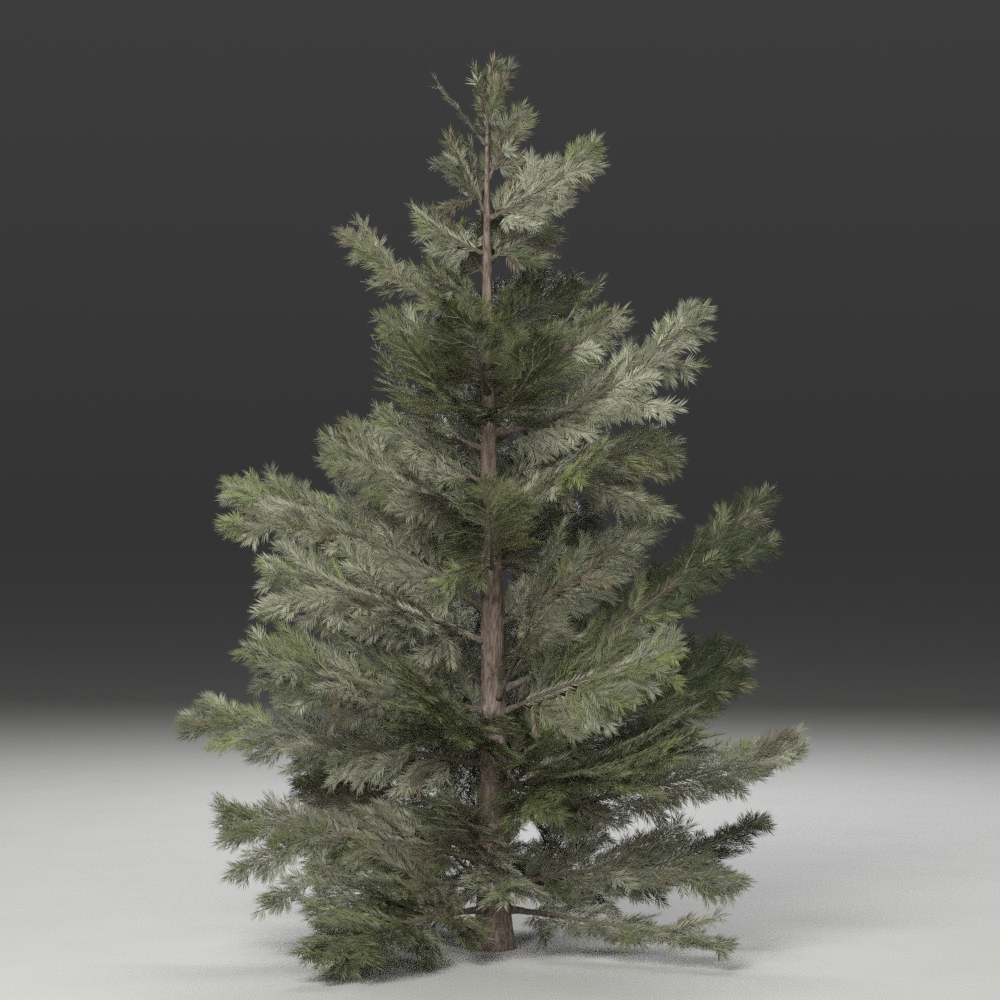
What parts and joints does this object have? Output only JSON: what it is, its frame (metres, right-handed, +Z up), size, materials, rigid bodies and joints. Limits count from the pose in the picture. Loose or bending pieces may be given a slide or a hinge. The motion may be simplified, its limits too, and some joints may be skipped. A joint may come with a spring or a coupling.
{
  "type": "pine shrub",
  "caption": "Young conifer shrub: straight tapering trunk, slender boughs and flat feathery fronds of short needles, rooted at a flat cut.",
  "frame": {"origin": "centre of the flat cut under the trunk, at ground level", "axes": "+Z up along the trunk, +X to the right in the picture's view, +Y away from its camera"},
  "size_m": [1.6668, 1.3183, 2.4],
  "materials": {
    "trunk_bark": "furrowed pinkish grey-brown bark, matt",
    "bough_bark": "thin reddish grey bark, matt",
    "needles_sage": "short grey-green needles, satin",
    "needles_pale": "short needles with a pale bluish bloom, satin",
    "needles_olive": "short olive green needles, satin",
    "needles_dark": "short deep green needles, satin",
    "needles_lime": "young yellow-green needles, satin",
    "needles_brown": "older brownish green needles, matt"
  },
  "bodies": {
    "root": {"trunk": "trunk_bark", "bough_10": "bough_bark", "bough_17": "bough_bark", "bough_18": "bough_bark", "bough_27": "bough_bark", "bough_31": "bough_bark", "bough_33": "bough_bark", "bough_37": "bough_bark", "bough_40": "bough_bark", "bough_43": "bough_bark", "bough_45": "bough_bark", "foliage_01": "needles_brown", "foliage_02": "needles_sage", "foliage_03": "needles_brown", "foliage_04": "needles_brown", "foliage_05": "needles_pale", "foliage_06": "needles_sage", "foliage_07": "needles_brown", "foliage_08": "needles_dark", "foliage_09": "needles_olive", "foliage_10": "needles_sage", "foliage_11": "needles_dark", "foliage_12": "needles_sage", "foliage_13": "needles_olive", "foliage_14": "needles_sage", "foliage_15": "needles_olive", "foliage_16": "needles_olive", "foliage_17": "needles_pale", "foliage_18": "needles_pale", "foliage_19": "needles_sage", "foliage_20": "needles_sage", "foliage_21": "needles_sage", "foliage_22": "needles_lime", "foliage_23": "needles_sage", "foliage_24": "needles_olive", "foliage_25": "needles_dark", "foliage_26": "needles_sage", "foliage_27": "needles_pale", "foliage_28": "needles_sage", "foliage_29": "needles_pale", "foliage_30": "needles_pale", "foliage_31": "needles_dark", "foliage_32": "needles_sage", "foliage_33": "needles_lime", "foliage_34": "needles_sage", "foliage_35": "needles_olive", "foliage_36": "needles_dark", "foliage_37": "needles_pale", "foliage_38": "needles_olive", "foliage_39": "needles_sage", "foliage_40": "needles_pale", "foliage_41": "needles_brown", "foliage_42": "needles_pale", "foliage_43": "needles_sage", "foliage_44": "needles_dark", "foliage_45": "needles_sage", "foliage_46": "needles_sage", "foliage_47": "needles_sage", "foliage_48": "needles_olive", "foliage_49": "needles_pale"}
  },
  "joints": []
}
